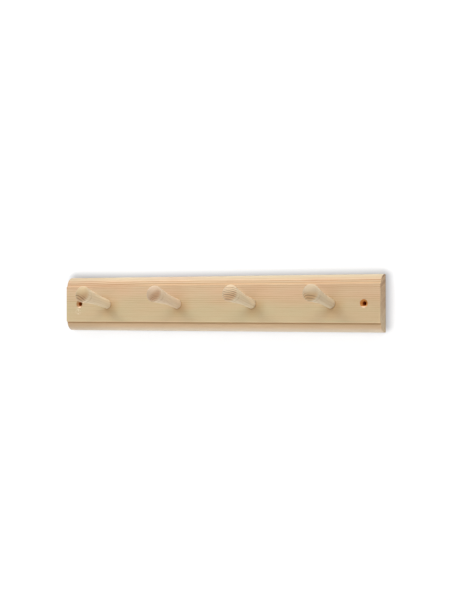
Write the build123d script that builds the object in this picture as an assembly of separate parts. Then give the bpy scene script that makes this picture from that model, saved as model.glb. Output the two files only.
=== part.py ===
from build123d import *
import math
import os

# A moulded wooden wall rail with four turned pegs that lean upwards.
# Millimetres. X runs along the rail, Z is up and the wall is the plane Y = 0, with the room
# towards -Y. The origin is the centre of the board's back, which lies against the wall.

# Board
board_length = 450.0
board_height = 70.0
board_thickness = 18.0
ovolo_radius = 11.5         # quarter-round along the top and the bottom edge
ovolo_step = 2.0            # how far the quarter-round starts behind the flat face
board_arris = 0.5           # sanded rounding of the board's long corners
board_end_chamfer = 0.4     # sanded off round the sawn ends

# Wall screw holes, one near each end
screw_end_distance = 21.0
screw_hole_diameter = 5.0
screw_sink_diameter = 10.0
screw_sink_angle = 90.0     # included angle of the countersink

# Pegs
peg_count = 4
peg_end_distance = 64.5     # board end to the nearest peg
peg_tilt = 12.5             # upward lean from square to the board, in degrees
peg_shank_diameter = 12.2
peg_shank_length = 18.0     # straight part outside the board, measured at the axis
peg_flare_length = 40.3     # end of the straight part to the widest rim
peg_flare_ease = 8.0        # the flare would start this far on if it had a sharp corner
peg_head_diameter = 21.0
peg_dome_height = 6.0
peg_end_chamfer = 0.8       # leads the peg into its hole
peg_glue_gap = 0.1          # round the peg, which seats on the bottom of its hole
peg_hole_back_wall = 3.0    # wood left between the hole's deepest corner and the wall

# Worked out from the sizes above
flat_height = board_height - 2 * ovolo_radius
ovolo_depth = ovolo_step + ovolo_radius
peg_pitch = (board_length - 2 * peg_end_distance) / (peg_count - 1)
peg_rim = peg_shank_length + peg_flare_length
lean = math.radians(peg_tilt)
peg_hole_radius = peg_shank_diameter / 2 + peg_glue_gap
peg_hole_back = board_thickness - peg_hole_back_wall
peg_hole_depth = (peg_hole_back - peg_hole_radius * math.sin(lean)) / math.cos(lean)


def ovolo_waste(side):
    """Section of what the moulding removes, above the flat face for side 1 and below it for -1."""
    block = Rectangle(ovolo_depth, ovolo_radius, align=(Align.MIN, Align.MIN))
    quarter = Pos(ovolo_depth, 0) * Circle(ovolo_radius)
    waste = Pos(-board_thickness, flat_height / 2) * (block - quarter)
    return waste if side > 0 else mirror(waste, Plane.XZ)


def board_section():
    """Cross-section of the board, with x as the depth from the wall and y as the height."""
    section = Rectangle(board_thickness, board_height, align=(Align.MAX, Align.CENTER))
    section -= ovolo_waste(1)
    section -= ovolo_waste(-1)
    back_corners = section.vertices().group_by(Axis.X)[-1]
    face_corners = section.vertices().group_by(Axis.X)[0]
    return fillet(back_corners + face_corners, board_arris)


def peg_seats():
    """Where each peg's axis leaves the face, with local Z running out along the peg."""
    seats = []
    for index in range(peg_count):
        x = peg_end_distance + index * peg_pitch - board_length / 2
        seats.append(Location((x, -board_thickness, 0), (90 - peg_tilt, 0, 0)))
    return seats


def screw_hole(side):
    """A wall screw's hole with its countersink, near the right (1) or the left (-1) end."""
    cut = CounterSinkHole(
        radius=screw_hole_diameter / 2,
        counter_sink_radius=screw_sink_diameter / 2,
        depth=board_thickness,
        counter_sink_angle=screw_sink_angle,
    )
    x = side * (board_length / 2 - screw_end_distance)
    return Location((x, -board_thickness, 0), (90, 0, 0)) * cut


def rail_board():
    board = extrude(Plane.YZ * board_section(), board_length / 2, both=True)
    ends = board.faces().filter_by(Axis.X)
    board = chamfer(ends.edges(), board_end_chamfer)
    for seat in peg_seats():
        board -= seat * Cylinder(peg_hole_radius, 2 * peg_hole_depth)
    for side in (-1, 1):
        board -= screw_hole(side)
    return board


def peg_blank():
    """A peg up to its widest rim, turned round Z, with the board's face at Z = 0."""
    shank_radius = peg_shank_diameter / 2
    shank = Polyline(
        (0, -peg_hole_depth),
        (shank_radius - peg_end_chamfer, -peg_hole_depth),
        (shank_radius, peg_end_chamfer - peg_hole_depth),
        (shank_radius, peg_shank_length),
    )
    flare_corner = (shank_radius, peg_shank_length + peg_flare_ease)
    flare = Bezier(shank @ 1, flare_corner, (peg_head_diameter / 2, peg_rim))
    top = Polyline(flare @ 1, (0, peg_rim), shank @ 0)
    section = make_face(Curve() + [shank, flare, top])
    return revolve(Plane.XZ * section, Axis.Z)


def peg_dome():
    """The crown of a ball that sits on the blank. The ball's poles point sideways, off the dome."""
    head_radius = peg_head_diameter / 2
    ball_radius = (head_radius**2 + peg_dome_height**2) / (2 * peg_dome_height)
    ball_centre = peg_rim + peg_dome_height - ball_radius
    ball = Pos(0, 0, ball_centre) * Rot(0, 90, 0) * Sphere(ball_radius)
    core = Cylinder(head_radius, peg_dome_height, align=(Align.CENTER, Align.CENTER, Align.MIN))
    return ball & Pos(0, 0, peg_rim) * core


def peg(seat):
    return seat * (peg_blank() + peg_dome())


os.makedirs("parts", exist_ok=True)
export_step(rail_board(), "parts/rail_board.step")
for number, seat in enumerate(peg_seats(), start=1):
    export_step(peg(seat), f"parts/peg_{number}.step")
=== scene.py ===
import math

import bpy
from mathutils import Matrix, Vector


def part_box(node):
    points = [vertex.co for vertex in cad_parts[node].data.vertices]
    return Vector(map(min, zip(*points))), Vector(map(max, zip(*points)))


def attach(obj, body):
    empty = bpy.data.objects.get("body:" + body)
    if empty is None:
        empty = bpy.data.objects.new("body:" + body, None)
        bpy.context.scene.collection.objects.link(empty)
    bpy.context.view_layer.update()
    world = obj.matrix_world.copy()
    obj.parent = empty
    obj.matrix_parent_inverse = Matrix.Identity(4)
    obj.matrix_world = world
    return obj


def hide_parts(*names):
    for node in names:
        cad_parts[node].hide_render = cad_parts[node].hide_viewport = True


# The looks of a pine peg rail on a white wall. Metres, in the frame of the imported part: X runs
# along the rail, Z is up, and the wall is the plane Y = 0 with the room towards -Y. Inside the
# materials lengths are millimetres, because that is the scale of the grain.

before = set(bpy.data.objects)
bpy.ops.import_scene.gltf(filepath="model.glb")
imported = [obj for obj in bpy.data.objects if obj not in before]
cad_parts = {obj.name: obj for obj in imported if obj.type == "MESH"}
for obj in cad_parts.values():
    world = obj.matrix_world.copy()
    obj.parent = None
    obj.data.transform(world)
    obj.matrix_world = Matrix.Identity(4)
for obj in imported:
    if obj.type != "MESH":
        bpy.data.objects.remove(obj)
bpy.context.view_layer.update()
board_low, board_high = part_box("rail_board")
MM = 0.001

# Camera, solved from the rail's corners and pegs. Angles are in radians.
FOCAL_PX = 1341.4
IMAGE_LONG_SIDE_PX = 600
SENSOR_MM = 36.0
CAMERA_YAW = 0.49121            # to the right of square on
CAMERA_PITCH = 0.0038
CAMERA_ROLL = -0.00202
CAMERA_DISTANCE = 1.7077
CAMERA_TARGET = Vector((0.0068, 0.0, 0.0047))

# The pegs' turned shape
PEG_TILT = math.radians(12.5)
PEG_TURN = math.pi / 2 - PEG_TILT   # about X, from upright to a peg's lean
SHANK_RADIUS = 6.1 * MM
SHANK_LENGTH = 18.0 * MM        # straight part outside the board
FLARE_LENGTH = 40.3 * MM
FLARE_EASE = 8.0 * MM           # the flare would start this far on if it had a sharp corner
HEAD_RADIUS = 10.5 * MM
DOME_HEIGHT = 6.0 * MM
END_CHAMFER = 0.8 * MM
END_REACH = 13.9 * MM           # inside the hole, just clear of its bottom
LATHE_STEPS = 144
FLARE_STEPS = 24
DOME_STEPS = 20
SHARP_EDGE = math.radians(18)

# The board, in millimetres from the middle of its back
THICKNESS = 18.0
STEP_Z = 23.5                   # the flat face ends at this height, above and below the middle
FACE_MARGIN = 0.8               # marks of the flat face reach this far behind it
BACK_MARGIN = 2.0               # marks of the front end this far before the back
HOLE_X = 204.0                  # wall screw holes, either side of the middle
SINK_RADIUS = 5.0
BORE_RADIUS = 2.5
SINK_MARGIN = 0.5               # below the countersink, in the bore
PEG_PITCH = 107.0
LOWER_RIGHT = (0.55, -0.84, 0.0)    # from a peg, where its foot is marked
TEAR_X, TEAR_Z = -206.0, -9.5   # torn fibres under the left screw hole

# Growth of the board's wood, in millimetres
HEART_DEPTH = 38.0              # of the rings' middle behind the flat face
HEART_DROP = 48.0               # and below the middle of the board
RING_PITCH = 2.25               # as the rings run out on the face
FIRST_RING = 20.3               # height of one dark ring there
DARKEST = 0.9                   # share of a ring's width at which its wood is darkest

# Finish of all the wood
WOOD_IOR = 1.42
RELIEF_STRENGTH = 0.8

# sRGB colours of the pine
PINE = {
    # the planed face and mouldings
    "upper_early": (215, 190, 155),
    "upper_early_warm": (218, 184, 149),
    "lower_early": (203, 185, 146),
    "lower_early_warm": (207, 182, 144),
    "below_step": (216, 184, 146),
    "upper_late": (178, 118, 70),
    "lower_late": (172, 142, 98),
    "glow": (242, 211, 170),
    "streak": (184, 146, 104),
    "hair": (156, 118, 80),
    # painted shade towards the right end
    "right_end_shade": (150, 122, 86),
    # painted sheen and shade on the top of the upper moulding
    "crown": (193, 176, 146),
    "crown_left": (194, 170, 146),
    "keel_sheen": (215, 201, 180),
    # painted sheen on the bottom of the lower moulding
    "left_end": (168, 142, 110),
    # painted shadow under the lower step
    "step_shadow": (144, 96, 14),
    # painted highlight on the face's lower edge
    "edge_highlight": (232, 212, 172),
    # marks on it
    # painted shadow round the pegs' feet
    "foot_shadow": (172, 114, 40),
    "foot_contact_shadow": (154, 104, 46),
    "torn": (226, 212, 184),
    "left_sink": (182, 136, 88),
    "right_sink": (191, 125, 54),
    # painted highlight on the countersinks' lower lip
    "sink_lip_highlight": (232, 202, 168),
    "bore": (190, 98, 6),
    # the sawn ends
    "end_low": (196, 174, 143),
    "end_high": (207, 176, 140),
    "end_dull": (120, 78, 46),
    "end_late": (96, 60, 34),
    "end_pores": (146, 118, 82),
    # all pegs
    "peg_late": (190, 158, 116),
    "peg_streak": (190, 160, 120),
    "peg_turned": (168, 140, 110),
    "dome_pores": (160, 126, 88),
    "dome_stripe": (112, 76, 42),
}

# How each peg was sawn and turned. Places and directions are across the peg, to the right and
# upwards, in millimetres from its axis. Rings are how dark the late wood is, and stripes are
# where it shows on the dome: from some distance along their direction onwards. The dome shade
# is painted shade, a browner lower side of the dome. Colours are sRGB.
PEG_LOOKS = [
    {
        "heart": (-11.0, -30.0), "ring_spacing": 2.8, "rings": 0.9,
        "stripes": (-0.3, -0.95), "stripes_from": 0.0,
        "side": (216, 198, 167), "crown": (188, 163, 124), "chin": (190, 140, 98),
        "chin_way": (0.3, -0.95), "chin_strength": 0.45,
    },
    {
        "heart": (12.0, -33.0), "ring_spacing": 1.9, "rings": 0.6,
        "stripes": (0.8, -0.6), "stripes_from": 0.0,
        "side": (212, 191, 163), "crown": (191, 165, 137), "chin": (186, 120, 52),
        "chin_way": (0.65, -0.76), "chin_strength": 0.36,
    },
    {
        "heart": (-2.0, -34.0), "ring_spacing": 2.4, "rings": 1.0,
        "stripes": (0.0, -1.0), "stripes_from": -12.0,
        "side": (214, 197, 167), "crown": (213, 188, 154), "chin": (190, 136, 82),
        "chin_way": (0.3, -0.95), "chin_strength": 0.47,
    },
    {
        "heart": (4.0, -30.0), "ring_spacing": 2.6, "rings": 0.8,
        "stripes": (-0.3, -0.95), "stripes_from": 0.0,
        "side": (205, 188, 159), "crown": (189, 168, 138), "chin": (204, 148, 70),
        "chin_way": (0.1, -1.0), "chin_strength": 0.44,
    },
]

# The room
ROOM_REACH = 4.0
FLOOR_Z = -1.5
WALL_Y = 0.3 * MM               # just behind the board's back
OPENING_INSET = 0.7 * MM        # of the wall's opening, inside the board's outline
WALL_HOLE_RADIUS = 3.0 * MM
WALL_HOLE_STEPS = 24
WALL_HOLE_SHADE = (110, 78, 36)     # sRGB

# Its paint, in linear colours. Where the camera sees the paint, it is darker and glows, so that
# it shows as near white and keeps soft shadows.
WHITE = (1.0, 1.0, 1.0)
PAINT = (0.8, 0.8, 0.8)
PAINT_UNDER_GLOW = (0.35, 0.35, 0.35)
SHADOW_TINT = (0.88, 0.92, 1.0)
WALL_GLOW = 0.75
FLOOR_GLOW = 0.7

# Soft shadow of the board on the wall, in millimetres
SHADOW_HALF_LENGTH = 230.1
SHADOW_HALF_HEIGHT = 36.4
SHADOW_END_BLUR = 9.5
SHADOW_TOP_BLUR = 7.0
SHADOW_TONE = 0.29              # where it is darkest

# Even light all round, as in a white tent, with most from the upper left. Each lamp is a soft
# rectangle that faces the rail: its place, its width and depth, and its power.
ROOM_LIGHT = 0.43               # strength of the white room around
LAMPS = {
    "upper_left": ((-1.67, -0.96, 2.3), (1.6, 1.6), 54.6),
    "upper_right": ((1.67, -0.96, 2.3), (1.6, 1.6), 41.0),
    "overhead": ((0.0, -0.52, 2.95), (1.6, 1.6), 14.1),
    "below": ((0.0, -0.8, -1.38), (3.0, 0.85), 13.0),
    "behind": ((0.8, 2.2, 1.2), (1.4, 1.4), 40.0),
}


def linear(red, green, blue):
    """An sRGB colour of 0 to 255 as the linear colour that a shader takes."""
    def one(value):
        share = value / 255
        return share / 12.92 if share <= 0.04045 else ((share + 0.055) / 1.055) ** 2.4
    return (one(red), one(green), one(blue))


def pine(name):
    return linear(*PINE[name])


class Graph:
    """Adds nodes to a material or a world. An input may be a socket, which is linked, or a value."""

    def __init__(self, owner):
        owner.use_nodes = True
        self.owner = owner
        self.tree = owner.node_tree
        self.tree.nodes.clear()

    def add(self, kind, inputs=None, **settings):
        node = self.tree.nodes.new(kind)
        for key, value in settings.items():
            setattr(node, key, value)
        for key, value in (inputs or {}).items():
            self.put(node.inputs[key], value)
        return node

    def put(self, socket, value):
        if isinstance(value, bpy.types.NodeSocket):
            self.tree.links.new(value, socket)
        elif isinstance(value, tuple) and socket.type == "RGBA":
            socket.default_value = (*value, 1.0)
        else:
            socket.default_value = value

    def math(self, operation, a, b=0.0, c=0.0):
        return self.add("ShaderNodeMath", {0: a, 1: b, 2: c}, operation=operation).outputs[0]

    def vector_math(self, operation, a, b=(0.0, 0.0, 0.0)):
        node = self.add("ShaderNodeVectorMath", {0: a, 1: b}, operation=operation)
        return node.outputs["Value" if operation in ("DOT_PRODUCT", "LENGTH", "DISTANCE") else "Vector"]

    def combine(self, x, y, z):
        return self.add("ShaderNodeCombineXYZ", {0: x, 1: y, 2: z}).outputs[0]

    def split(self, vector):
        return self.add("ShaderNodeSeparateXYZ", {0: vector}).outputs

    def point(self):
        """The point of the surface, in metres."""
        return self.add("ShaderNodeTexCoord").outputs["Object"]

    def in_millimetres(self, metres):
        return self.vector_math("MULTIPLY", metres, (1 / MM, 1 / MM, 1 / MM))

    def normal(self):
        return self.add("ShaderNodeNewGeometry").outputs["True Normal"]

    def noise(self, vector, scale, detail=2.0, roughness=0.5):
        """Smooth noise from 0 to 1. The scale is features per millimetre, for each axis or for all."""
        if isinstance(scale, tuple):
            vector = self.vector_math("MULTIPLY", vector, scale)
            scale = 1.0
        inputs = {"Vector": vector, "Scale": scale, "Detail": detail, "Roughness": roughness}
        return self.add("ShaderNodeTexNoise", inputs).outputs["Fac"]

    def remap(self, value, low, high, to_low=0.0, to_high=1.0):
        """A soft step from one number to another while the value goes from low to high."""
        inputs = {"Value": value, 1: low, 2: high, 3: to_low, 4: to_high}
        node = self.add("ShaderNodeMapRange", inputs, interpolation_type="SMOOTHSTEP")
        return node.outputs[0]

    def band(self, value, middle, half_width):
        """1 in the middle of a soft band, falling to 0 at its half width."""
        offset = self.math("ABSOLUTE", self.math("SUBTRACT", value, middle))
        return self.remap(offset, 0.0, half_width, 1.0, 0.0)

    def blend(self, amount, a, b):
        """Colour a where the amount is 0 and colour b where it is 1."""
        node = self.add("ShaderNodeMix", data_type="RGBA")
        for socket, value in zip((node.inputs[0], node.inputs[6], node.inputs[7]), (amount, a, b)):
            self.put(socket, value)
        return node.outputs[2]

    def overlay(self, colour, mask, strength, over):
        """The colour with another laid over it, as strongly as given where the mask is 1."""
        return self.blend(self.math("MULTIPLY", mask, strength), colour, over)

    def finish(self, shader):
        in_world = isinstance(self.owner, bpy.types.World)
        kind = "ShaderNodeOutputWorld" if in_world else "ShaderNodeOutputMaterial"
        self.add(kind, {"Surface": shader})
        return self.owner


def add_object(name, data):
    piece = bpy.data.objects.new(name, data)
    bpy.context.scene.collection.objects.link(piece)
    return piece


# Wood in general

def late_wood(g, turns):
    """Dark late wood of a growth ring from 0 to 1, sharp on the outside and soft on the inside."""
    share = g.math("FRACT", turns)
    rise = g.remap(share, 0.45, DARKEST - 0.02)
    fall = g.remap(share, DARKEST + 0.03, 1.0, 1.0, 0.0)
    return g.math("MULTIPLY", rise, fall)


def ring_chance(g, turns):
    """A number from 0 to 1 that is the same all along one growth ring."""
    ring = g.math("FLOOR", turns)
    return g.add("ShaderNodeTexWhiteNoise", {"W": ring}, noise_dimensions="1D").outputs["Value"]


def wood_surface(g, colour, roughness, relief):
    """The finished wood. The relief is pairs of a mask and how many millimetres it stands up."""
    height = 0.0
    for mask, millimetres in relief:
        height = g.math("MULTIPLY_ADD", mask, millimetres, height)
    bump = g.add("ShaderNodeBump", {"Height": height, "Distance": MM, "Strength": RELIEF_STRENGTH})
    inputs = {
        "Base Color": colour,
        "Roughness": roughness,
        "IOR": WOOD_IOR,
        "Normal": bump.outputs[0],
    }
    return g.finish(g.add("ShaderNodeBsdfPrincipled", inputs).outputs[0])


# The board's wood

def board_rings(g, place):
    """Growth rings round a heart behind and below the board, by their height on its face.

    A ring inside the heart's depth never reaches the face, so there the heights just run on.
    """
    wander, waver, left_end_drop = 2.2, 0.9, 1.1
    x, y, z = g.split(place)
    rise = g.math("ADD", z, HEART_DROP)
    rise = g.math("MULTIPLY_ADD", g.noise(place, (0.006, 0.02, 0.02), detail=1.0), wander, rise)
    rise = g.math("MULTIPLY_ADD", g.noise(place, (0.03, 0.1, 0.1)), waver, rise)
    rise = g.math("SUBTRACT", rise, g.remap(x, -140.0, -200.0, 0.0, left_end_drop))
    depth = g.math("SUBTRACT", y, HEART_DEPTH - THICKNESS)
    radius = g.vector_math("LENGTH", g.combine(0.0, depth, rise))
    squared = g.math("SUBTRACT", g.math("MULTIPLY", radius, radius), HEART_DEPTH ** 2)
    on_face = g.math("SQRT", g.math("MAXIMUM", squared, 0.0))
    inside = g.math("MINIMUM", g.math("SUBTRACT", radius, HEART_DEPTH), 0.0)
    above_heart = g.math("MULTIPLY_ADD", inside, 2.0, on_face)
    return g.math("SUBTRACT", above_heart, HEART_DROP + (wander + waver) / 2)


def board_late_wood(g, face_height, turns, patch):
    """Late wood of the board: uneven, fainter lower down, and strongest in one band near the top."""
    strength = g.remap(face_height, -25.0, 18.0, 0.12, 0.9)
    strength = g.math("MULTIPLY", strength, g.remap(ring_chance(g, turns), 0.0, 1.0, 0.4, 1.0))
    strength = g.math("MULTIPLY", strength, g.remap(patch, 0.3, 0.6, 0.5, 1.0))
    strongest = g.math("MULTIPLY", g.band(face_height, 25.2, 6.0), 0.85)
    return g.math("MULTIPLY", late_wood(g, turns), g.math("MAXIMUM", strength, strongest))


def in_front(g, place):
    """1 on the face and the mouldings, and 0 on the back."""
    return g.math("LESS_THAN", g.split(place)["Y"], -BACK_MARGIN)


def on_flat_face(g, place):
    """1 on the flat face, and 0 on the mouldings and the back."""
    return g.math("LESS_THAN", g.split(place)["Y"], FACE_MARGIN - THICKNESS)


def planed_colour(g, place, late, fibre, hair):
    """Early and late wood of the board, with the streaks and hairs of its fibre."""
    x, _, z = g.split(place)
    cloud = g.noise(place, (0.012, 0.05, 0.05))
    upper = g.remap(g.math("MULTIPLY_ADD", cloud, 12.0, z), -4.0, 28.0)
    upper_early = g.blend(g.remap(cloud, 0.3, 0.7), pine("upper_early"), pine("upper_early_warm"))
    lower_early = g.blend(g.remap(cloud, 0.35, 0.65), pine("lower_early"), pine("lower_early_warm"))
    lower_early = g.blend(g.remap(z, -22.0, -25.0), lower_early, pine("below_step"))
    early_colour = g.blend(upper, lower_early, upper_early)
    late_colour = g.blend(upper, pine("lower_late"), pine("upper_late"))
    colour = g.blend(late, early_colour, late_colour)
    glow = g.math("MULTIPLY", g.band(z, STEP_Z + 1.3, 1.4), g.remap(x, -130.0, -90.0))
    glow = g.math("MULTIPLY", glow, in_front(g, place))
    colour = g.overlay(colour, glow, 0.8, pine("glow"))
    colour = g.overlay(colour, g.remap(fibre, 0.35, 0.75), 0.2, pine("streak"))
    colour = g.overlay(colour, g.remap(hair, 0.5, 0.8), 0.15, pine("hair"))
    # Painted shade: the board darkens a little towards its right end.
    return g.blend(g.remap(x, 60.0, 215.0, 0.0, 0.06), colour, pine("right_end_shade"))


def mark_mouldings(g, colour, place, patch):
    """Painted sheen and shade on the edges, a tone at the left end, painted shadow and highlight at the
    step.
    """
    x, _, z = g.split(place)
    # Painted sheen and shade: the top of the upper moulding greyer and darker.
    crown = g.remap(g.math("MULTIPLY_ADD", patch, 2.0, z), 29.5, 35.0)
    crown_sheen_colour = g.blend(g.band(x, -60.0, 90.0), pine("crown"), pine("crown_left"))
    colour = g.overlay(colour, crown, 0.85, crown_sheen_colour)
    # Painted sheen: the bottom of the lower moulding paler and greyer.
    colour = g.overlay(colour, g.remap(z, -28.0, -34.0), 0.75, pine("keel_sheen"))
    mouldings = g.remap(g.math("ABSOLUTE", z), 24.0, 29.0)
    colour = g.overlay(colour, mouldings, g.remap(x, -140.0, -215.0, 0.0, 0.3), pine("left_end"))
    # Painted shadow under the lower step, on the moulding behind the face.
    behind_step = g.math("SUBTRACT", in_front(g, place), on_flat_face(g, place))
    step_shadow = g.math("MULTIPLY", g.band(z, -STEP_Z - 1.0, 1.7), behind_step)
    colour = g.overlay(colour, step_shadow, 0.55, pine("step_shadow"))
    # Painted highlight along the lower edge of the flat face.
    edge_highlight = g.math("MULTIPLY", g.band(z, 0.6 - STEP_Z, 0.9), on_flat_face(g, place))
    return g.overlay(colour, edge_highlight, 0.4, pine("edge_highlight"))


def paint_foot_shadows(g, colour, place):
    """Painted shadow on the face to the lower right of each peg: a dark line at its foot and a soft
    ring.
    """
    x, _, z = g.split(place)
    above_zero = g.math("ADD", x, 5 * PEG_PITCH)
    beside = g.math("SUBTRACT", g.math("MODULO", above_zero, PEG_PITCH), PEG_PITCH / 2)
    spot = g.combine(beside, g.math("MULTIPLY", z, math.cos(PEG_TILT)), 0.0)
    beyond = g.math("SUBTRACT", g.vector_math("LENGTH", spot), SHANK_RADIUS / MM)
    facing = g.vector_math("DOT_PRODUCT", g.vector_math("NORMALIZE", spot), LOWER_RIGHT)
    side = g.math("MULTIPLY", g.remap(facing, -0.2, 0.8), on_flat_face(g, place))
    # Painted shadow: a soft ring and a dark contact line at the foot.
    ring = g.math("MULTIPLY", g.remap(beyond, 0.0, 18.0, 1.0, 0.0), side)
    line = g.math("MULTIPLY", g.remap(beyond, 0.5, 1.4, 1.0, 0.0), side)
    colour = g.overlay(colour, ring, 0.33, pine("foot_shadow"))
    return g.overlay(colour, line, 0.5, pine("foot_contact_shadow"))


def end_grain(g, place, turns):
    """The sawn ends: rings that are clearest near the top, some of them duller, and pores."""
    z = g.split(place)["Z"]
    colour = g.blend(g.remap(z, -25.0, 25.0), pine("end_low"), pine("end_high"))
    pair_of_rings = ring_chance(g, g.math("MULTIPLY", turns, 0.5))
    dull = g.remap(pair_of_rings, 0.2, 0.8, 0.0, 0.45)
    colour = g.overlay(colour, dull, g.remap(z, -20.0, 12.0, 0.2, 1.0), pine("end_dull"))
    rings = g.remap(z, -10.0, 14.0, 0.2, 1.0)
    colour = g.overlay(colour, late_wood(g, turns), rings, pine("end_late"))
    pores = g.noise(place, (1.0, 0.9, 0.35), detail=3.0, roughness=0.6)
    return g.blend(g.remap(pores, 0.45, 0.7, 0.0, 0.35), colour, pine("end_pores"))


def mark_tear(g, colour, place):
    """Pale specks where fibres were torn out of the face."""
    x, _, z = g.split(place)
    from_tear = g.vector_math("DISTANCE", g.combine(x, z, 0.0), (TEAR_X, TEAR_Z, 0.0))
    specks = g.remap(g.noise(place, 0.7, detail=1.0), 0.5, 0.58)
    torn = g.math("MULTIPLY", g.remap(from_tear, 2.0, 6.0, 0.8, 0.0), specks)
    return g.overlay(colour, torn, on_flat_face(g, place), pine("torn"))


def mark_screw_holes(g, colour, place):
    """Countersinks with a painted highlight on the lower lip, and brown bores. Also gives the bores'
    mask.
    """
    x, y, z = g.split(place)
    across = g.math("SUBTRACT", g.math("ABSOLUTE", x), HOLE_X)
    distance = g.vector_math("LENGTH", g.combine(across, z, 0.0))
    sink = g.remap(distance, SINK_RADIUS - 0.1, SINK_RADIUS + 0.1, 1.0, 0.0)
    bore = g.remap(distance, BORE_RADIUS + 0.02, BORE_RADIUS + 0.25, 1.0, 0.0)
    bevel = g.blend(g.math("LESS_THAN", x, 0.0), pine("right_sink"), pine("left_sink"))
    # Painted highlight on the lower lip of each countersink.
    bevel = g.blend(g.remap(z, -4.3, -2.9), pine("sink_lip_highlight"), bevel)
    sink_bottom = SINK_RADIUS - BORE_RADIUS - THICKNESS
    in_sink = g.math("LESS_THAN", y, sink_bottom + SINK_MARGIN)
    colour = g.overlay(colour, sink, in_sink, bevel)
    return g.blend(bore, colour, pine("bore")), bore


def rail_wood():
    """Planed pine with the grain along X. Redder at the top and yellower at the bottom."""
    g = Graph(bpy.data.materials.new("rail_pine"))
    place = g.in_millimetres(g.point())
    face_height = board_rings(g, place)
    turns = g.math("MULTIPLY_ADD", face_height, 1 / RING_PITCH, DARKEST - FIRST_RING / RING_PITCH)
    patch = g.noise(place, (0.02, 0.25, 0.25))
    fibre = g.noise(place, (0.05, 2.4, 2.4), detail=4.0, roughness=0.65)
    hair = g.noise(place, (0.18, 9.0, 9.0))
    late = board_late_wood(g, face_height, turns, patch)

    colour = planed_colour(g, place, late, fibre, hair)
    colour = mark_mouldings(g, colour, place, patch)
    colour = paint_foot_shadows(g, colour, place)
    endwise = g.remap(g.math("ABSOLUTE", g.split(g.normal())["X"]), 0.8, 0.95)
    colour = g.blend(endwise, colour, end_grain(g, place, turns))
    colour = mark_tear(g, colour, place)
    colour, bore = mark_screw_holes(g, colour, place)

    roughness = g.math("MAXIMUM", g.remap(fibre, 0.2, 0.8, 0.52, 0.7), bore)
    return wood_surface(g, colour, roughness, [(late, 0.03), (fibre, 0.05), (hair, 0.02)])


# The pegs' wood

def along_peg(g, seat):
    """Millimetres from the peg's seat, with Z along the peg."""
    inputs = {"Vector": g.vector_math("SUBTRACT", g.point(), seat), "Angle": -PEG_TURN}
    upright = g.add("ShaderNodeVectorRotate", inputs, rotation_type="X_AXIS").outputs[0]
    return g.in_millimetres(upright)


def peg_late_wood(g, grain, look):
    """Late wood of a peg, from 0 to 1. The grain's Z runs along the peg, through its heart."""
    x, y, z = g.split(grain)
    across = g.math("MULTIPLY_ADD", g.noise(grain, (0.06, 0.06, 0.02)), 2.0, x)
    radius = g.vector_math("LENGTH", g.combine(across, y, 0.0))
    drift = g.noise(g.combine(z, x, y), (0.001, 0.05, 0.05), detail=1.0)
    drift = g.math("MULTIPLY", drift, 2.2)
    turns = g.math("MULTIPLY_ADD", radius, 1.0 / look["ring_spacing"], drift)
    strength = g.remap(ring_chance(g, turns), 0.0, 1.0, 0.5 * look["rings"], look["rings"])
    return g.math("MULTIPLY", late_wood(g, turns), strength)


def peg_side_colour(g, place, late, fibre, look):
    """The peg's long sides, with marks of the turning near its head."""
    colour = g.overlay(linear(*look["side"]), late, 0.4, pine("peg_late"))
    colour = g.overlay(colour, g.remap(fibre, 0.35, 0.75), 0.12, pine("peg_streak"))
    turned = g.remap(g.noise(place, (0.04, 0.04, 0.24), roughness=0.7), 0.5, 0.7)
    near_head = g.remap(g.split(place)["Z"], 34.0, 52.0, 0.0, 0.55)
    return g.overlay(colour, turned, near_head, pine("peg_turned"))


def peg_dome_colour(g, place, grain, late, look):
    """The end grain of the dome, with its pores, painted shade on its lower side, and its stripes."""
    pores = g.remap(g.noise(grain, 4.0, detail=3.0, roughness=0.7), 0.5, 0.8, 0.0, 0.5)
    colour = g.blend(pores, linear(*look["crown"]), pine("dome_pores"))
    # Painted shade: the dome browner on its lower side.
    chin = g.remap(g.vector_math("DOT_PRODUCT", place, (*look["chin_way"], 0.0)), -2.0, 7.0)
    colour = g.overlay(colour, chin, look["chin_strength"], linear(*look["chin"]))
    stripe_side = g.vector_math("DOT_PRODUCT", place, (*look["stripes"], 0.0))
    striped = g.remap(stripe_side, look["stripes_from"], look["stripes_from"] + 4.0)
    return g.overlay(colour, late, striped, pine("dome_stripe"))


def peg_wood(number, seat, look):
    """Turned pale softwood with the grain along the peg, and its heart off to one side."""
    g = Graph(bpy.data.materials.new(f"peg_pine_{number}"))
    place = along_peg(g, seat)
    grain = g.vector_math("SUBTRACT", place, (*look["heart"], -40.0 * number))
    late = peg_late_wood(g, grain, look)
    fibre = g.noise(grain, (2.2, 2.2, 0.06), detail=4.0, roughness=0.65)
    hair = g.noise(grain, (8.0, 8.0, 0.25))

    side_colour = peg_side_colour(g, place, late, fibre, look)
    dome_colour = peg_dome_colour(g, place, grain, late, look)
    axis = (0.0, -math.cos(PEG_TILT), math.sin(PEG_TILT))
    endwise = g.remap(g.vector_math("DOT_PRODUCT", g.normal(), axis), 0.35, 0.8)
    colour = g.blend(endwise, side_colour, dome_colour)

    roughness = g.remap(fibre, 0.2, 0.8, 0.5, 0.68)
    return wood_surface(g, colour, roughness, [(late, 0.03), (fibre, 0.04), (hair, 0.02)])


# The pieces

def flare_points():
    """The curve from the straight shank to the widest rim, as (radius, distance along)."""
    rim = SHANK_LENGTH + FLARE_LENGTH
    corner = SHANK_LENGTH + FLARE_EASE
    points = []
    for index in range(FLARE_STEPS + 1):
        t = index / FLARE_STEPS
        radius = SHANK_RADIUS + (HEAD_RADIUS - SHANK_RADIUS) * t * t
        along = SHANK_LENGTH * (1 - t) ** 2 + 2 * corner * t * (1 - t) + rim * t * t
        points.append((radius, along))
    return points


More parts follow.
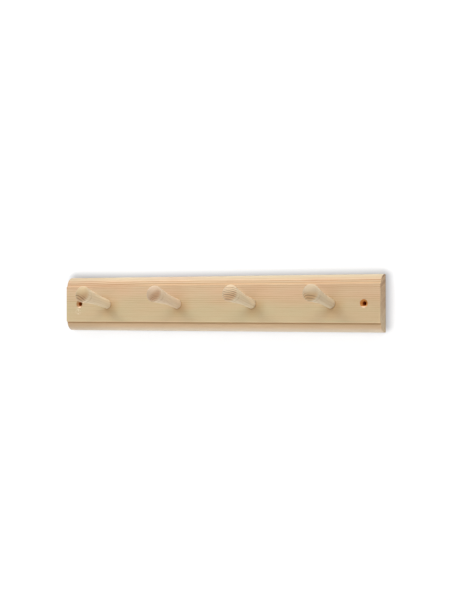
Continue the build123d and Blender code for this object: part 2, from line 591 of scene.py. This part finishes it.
def dome_points():
    """The round top from just inside the rim to the middle, as (radius, distance along)."""
    top = SHANK_LENGTH + FLARE_LENGTH + DOME_HEIGHT
    ball_radius = (HEAD_RADIUS ** 2 + DOME_HEIGHT ** 2) / (2 * DOME_HEIGHT)
    half_angle = math.asin(HEAD_RADIUS / ball_radius)
    points = []
    for index in range(1, DOME_STEPS):
        angle = half_angle * (1 - index / DOME_STEPS)
        along = top - ball_radius * (1 - math.cos(angle))
        points.append((ball_radius * math.sin(angle), along))
    return points + [(0.0, top)]


def peg_outline():
    """Half section of a peg from the end in its hole to the top of the dome."""
    end = [
        (0.0, -END_REACH),
        (SHANK_RADIUS - END_CHAMFER, -END_REACH),
        (SHANK_RADIUS, END_CHAMFER - END_REACH),
        (SHANK_RADIUS, 0.0),
    ]
    return end + flare_points() + dome_points()


def lathe(name, outline):
    """A closed turned mesh round local Z."""
    points, faces, rings = [], [], []
    for radius, along in outline:
        if radius == 0.0:
            rings.append([len(points)])
            points.append((0.0, 0.0, along))
            continue
        rings.append(range(len(points), len(points) + LATHE_STEPS))
        for index in range(LATHE_STEPS):
            angle = 2 * math.pi * index / LATHE_STEPS
            points.append((radius * math.cos(angle), radius * math.sin(angle), along))
    for lower, upper in zip(rings, rings[1:]):
        for index in range(LATHE_STEPS):
            after = (index + 1) % LATHE_STEPS
            if len(lower) == 1:
                faces.append((lower[0], upper[after], upper[index]))
            elif len(upper) == 1:
                faces.append((lower[index], lower[after], upper[0]))
            else:
                faces.append((lower[index], lower[after], upper[after], upper[index]))
    mesh = bpy.data.meshes.new(name)
    mesh.from_pydata(points, [], faces)
    mesh.shade_smooth()
    mesh.set_sharp_from_angle(angle=SHARP_EDGE)
    return mesh


def make_pegs():
    """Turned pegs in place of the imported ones, of the same form with finer facets."""
    outline = peg_outline()
    for number, look in enumerate(PEG_LOOKS, start=1):
        node = f"peg_{number}"
        low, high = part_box(node)
        seat = Vector(((low.x + high.x) / 2, board_low.y, 0.0))
        mesh = lathe(f"{node}_turned", outline)
        mesh.transform(Matrix.Translation(seat) @ Matrix.Rotation(PEG_TURN, 4, "X"))
        mesh.materials.append(peg_wood(number, seat, look))
        piece = add_object(f"{node}_turned", mesh)
        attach(piece, "root")
        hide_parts(node)


def dress_board():
    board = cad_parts["rail_board"]
    board.data.materials.clear()
    board.data.materials.append(rail_wood())


# The room

def wall_tone(g):
    """Soft shadow of the board on the wall, which reaches past its ends and a little above it."""
    x, _, z = g.split(g.in_millimetres(g.point()))
    middle = g.remap(x, -225.0, -120.0, 3.9, 2.7)
    beside = g.math("SUBTRACT", g.math("ABSOLUTE", x), SHADOW_HALF_LENGTH - SHADOW_END_BLUR)
    above = g.math("ABSOLUTE", g.math("SUBTRACT", z, middle))
    above = g.math("SUBTRACT", above, SHADOW_HALF_HEIGHT - SHADOW_TOP_BLUR)
    beside = g.math("MULTIPLY", g.math("MAXIMUM", beside, 0.0), 0.5 / SHADOW_END_BLUR)
    above = g.math("MULTIPLY", g.math("MAXIMUM", above, 0.0), 0.5 / SHADOW_TOP_BLUR)
    outside = g.vector_math("LENGTH", g.combine(beside, above, 0.0))
    return g.remap(outside, 0.0, 1.0, SHADOW_TONE, 1.0)


def seen_as_background(g):
    """1 where the camera sees a surface, also in a reflection, and 0 where it only gives light."""
    rays = g.add("ShaderNodeLightPath").outputs
    seen = g.math("MAXIMUM", rays["Is Camera Ray"], rays["Is Glossy Ray"])
    return g.math("MAXIMUM", seen, rays["Is Transmission Ray"])


def backdrop_shader(g, glow, tint):
    """White paint that shows as near white to the camera and still takes soft shadows."""
    seen = seen_as_background(g)
    paint = g.blend(seen, PAINT, PAINT_UNDER_GLOW)
    diffuse = g.add("ShaderNodeBsdfDiffuse", {"Color": paint}).outputs[0]
    inputs = {"Color": tint, "Strength": g.math("MULTIPLY", seen, glow)}
    emission = g.add("ShaderNodeEmission", inputs).outputs[0]
    return g.add("ShaderNodeAddShader", {0: diffuse, 1: emission}).outputs[0]


def clear_from_behind(g, shader):
    """The same shader, but see-through from behind, where the board's back is looked at."""
    behind = g.add("ShaderNodeNewGeometry").outputs["Backfacing"]
    clear = g.add("ShaderNodeBsdfTransparent").outputs[0]
    return g.add("ShaderNodeMixShader", {0: behind, 1: shader, 2: clear}).outputs[0]


def wall_paint():
    g = Graph(bpy.data.materials.new("wall_paint"))
    tone = wall_tone(g)
    glow = g.math("MULTIPLY", tone, WALL_GLOW)
    shader = backdrop_shader(g, glow, g.blend(tone, SHADOW_TINT, WHITE))
    return g.finish(clear_from_behind(g, shader))


def floor_paint():
    g = Graph(bpy.data.materials.new("floor_paint"))
    return g.finish(backdrop_shader(g, FLOOR_GLOW, WHITE))


def hole_shade():
    """Painted shade of a drilled hole in the wall, for a flat disc."""
    g = Graph(bpy.data.materials.new("hole_shade"))
    dark = g.add("ShaderNodeBsdfDiffuse", {"Color": linear(*WALL_HOLE_SHADE)}).outputs[0]
    return g.finish(clear_from_behind(g, dark))


def rectangle(left, right, low, high):
    """Its four corners, in order."""
    return [(left, low), (right, low), (right, high), (left, high)]


def stage_piece(name, points, faces, material):
    mesh = bpy.data.meshes.new(name)
    mesh.from_pydata(points, [], faces)
    mesh.materials.append(material)
    piece = add_object(name, mesh)


def make_wall():
    """A white wall with an opening hidden behind the board, which lets light reach its back."""
    outer = rectangle(-ROOM_REACH, ROOM_REACH, FLOOR_Z, ROOM_REACH)
    inner = rectangle(
        board_low.x + OPENING_INSET, board_high.x - OPENING_INSET,
        board_low.z + OPENING_INSET, board_high.z - OPENING_INSET,
    )
    points = [(x, WALL_Y, z) for x, z in outer + inner]
    faces = [(i, (i + 1) % 4, 4 + (i + 1) % 4, 4 + i) for i in range(4)]
    stage_piece("wall", points, faces, wall_paint())


def make_wall_holes():
    """A dark disc behind each screw hole: painted shade where the wall would be drilled."""
    shade = hole_shade()
    angles = [2 * math.pi * index / WALL_HOLE_STEPS for index in range(WALL_HOLE_STEPS)]
    rim = [(WALL_HOLE_RADIUS * math.cos(a), WALL_HOLE_RADIUS * math.sin(a)) for a in angles]
    disc = [tuple(range(WALL_HOLE_STEPS))]
    for middle in (-HOLE_X * MM, HOLE_X * MM):
        stage_piece("wall_hole_shade_disc", [(middle + x, WALL_Y, z) for x, z in rim], disc, shade)


def make_floor():
    """A pale floor, far below the rail."""
    corners = rectangle(-ROOM_REACH, ROOM_REACH, -ROOM_REACH, ROOM_REACH)
    stage_piece("floor", [(x, y, FLOOR_Z) for x, y in corners], [(0, 1, 2, 3)], floor_paint())


def make_lamps():
    for name, (place, size, power) in LAMPS.items():
        light = bpy.data.lights.new(name, "AREA")
        light.shape = "RECTANGLE"
        light.size, light.size_y = size
        light.energy = power
        lamp = add_object(name, light)
        lamp.location = place
        lamp.rotation_euler = (-Vector(place)).to_track_quat("-Z", "Y").to_euler()
        lamp.visible_camera = False


def make_surroundings():
    """The white room around, dimmer as light than as it is seen."""
    g = Graph(bpy.data.worlds.new("room"))
    strength = g.math("MULTIPLY_ADD", seen_as_background(g), 1.0 - ROOM_LIGHT, ROOM_LIGHT)
    background = g.add("ShaderNodeBackground", {"Color": WHITE, "Strength": strength})
    bpy.context.scene.world = g.finish(background.outputs[0])


def make_camera():
    data = bpy.data.cameras.new("camera")
    data.sensor_width = SENSOR_MM
    data.lens = FOCAL_PX / IMAGE_LONG_SIDE_PX * SENSOR_MM
    camera = add_object("camera", data)
    forward = Vector((
        -math.sin(CAMERA_YAW) * math.cos(CAMERA_PITCH),
        math.cos(CAMERA_YAW) * math.cos(CAMERA_PITCH),
        math.sin(CAMERA_PITCH),
    ))
    turn = forward.to_track_quat("-Z", "Y").to_matrix().to_4x4()
    roll = Matrix.Rotation(CAMERA_ROLL, 4, "Z")
    camera.matrix_world = Matrix.Translation(CAMERA_TARGET - forward * CAMERA_DISTANCE) @ turn @ roll
    bpy.context.scene.camera = camera


dress_board()
make_pegs()
make_wall()
make_wall_holes()
make_floor()
make_lamps()
make_surroundings()
make_camera()
bpy.context.scene.view_settings.view_transform = "Standard"
